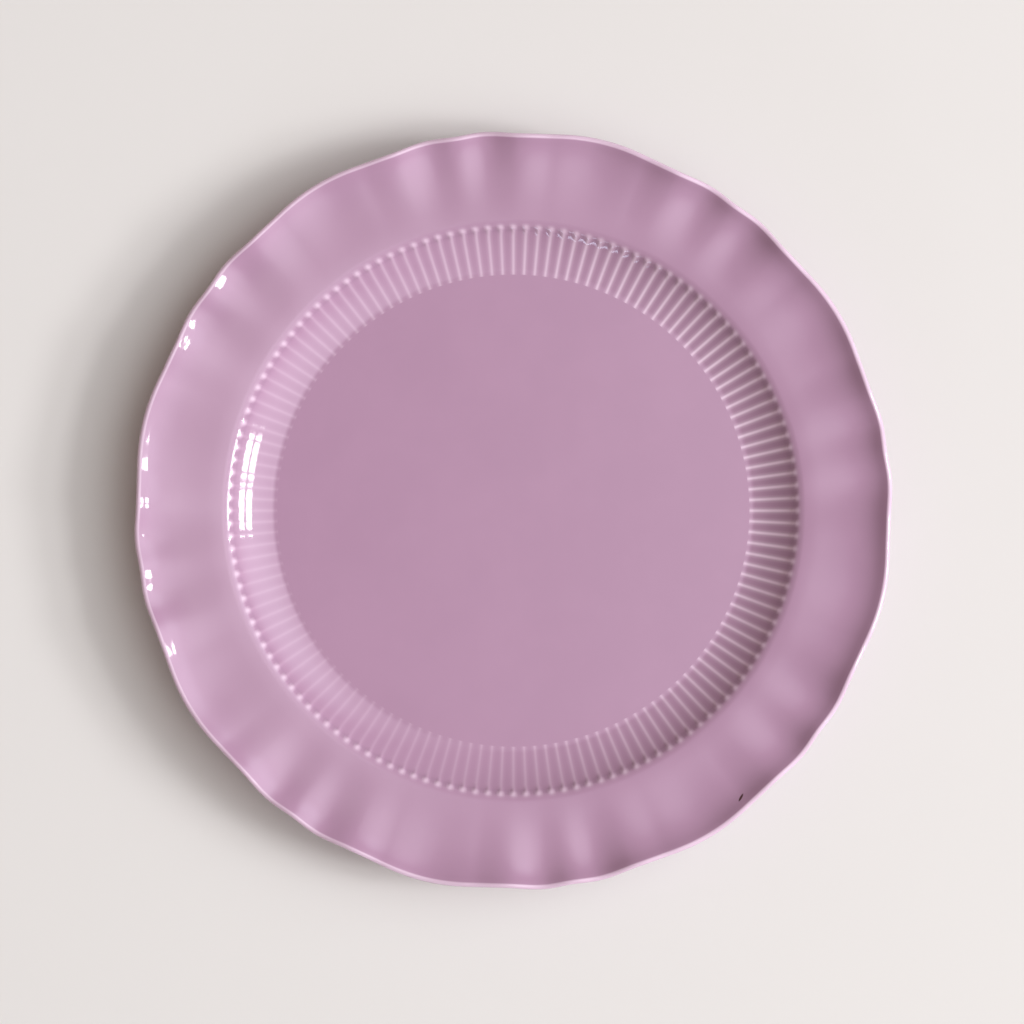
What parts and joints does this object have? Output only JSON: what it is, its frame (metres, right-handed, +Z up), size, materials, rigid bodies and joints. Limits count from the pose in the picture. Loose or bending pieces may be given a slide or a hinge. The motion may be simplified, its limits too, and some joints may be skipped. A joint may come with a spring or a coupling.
{
  "type": "dessert plate",
  "caption": "Round stoneware dessert plate with a flat well, a fluted cove, a softly folded scalloped rim and a bare foot ring, under a glossy mauve-pink glaze.",
  "frame": {"origin": "centre of the plate on the plane of the foot ring's bearing face", "axes": "+Z up along the plate's centre line, +X through the notch between two small lobes of the rim"},
  "size_m": [0.2198, 0.2198, 0.0206],
  "materials": {
    "fired_clay": "bare fired stoneware, fine and matt, seen only on the foot ring",
    "glaze": "glossy mauve-pink glaze, paler where it thins on ribs and lip"
  },
  "bodies": {
    "root": {"stoneware_body": "fired_clay", "glaze_coat": "glaze", "base_glaze": "glaze"}
  },
  "joints": []
}
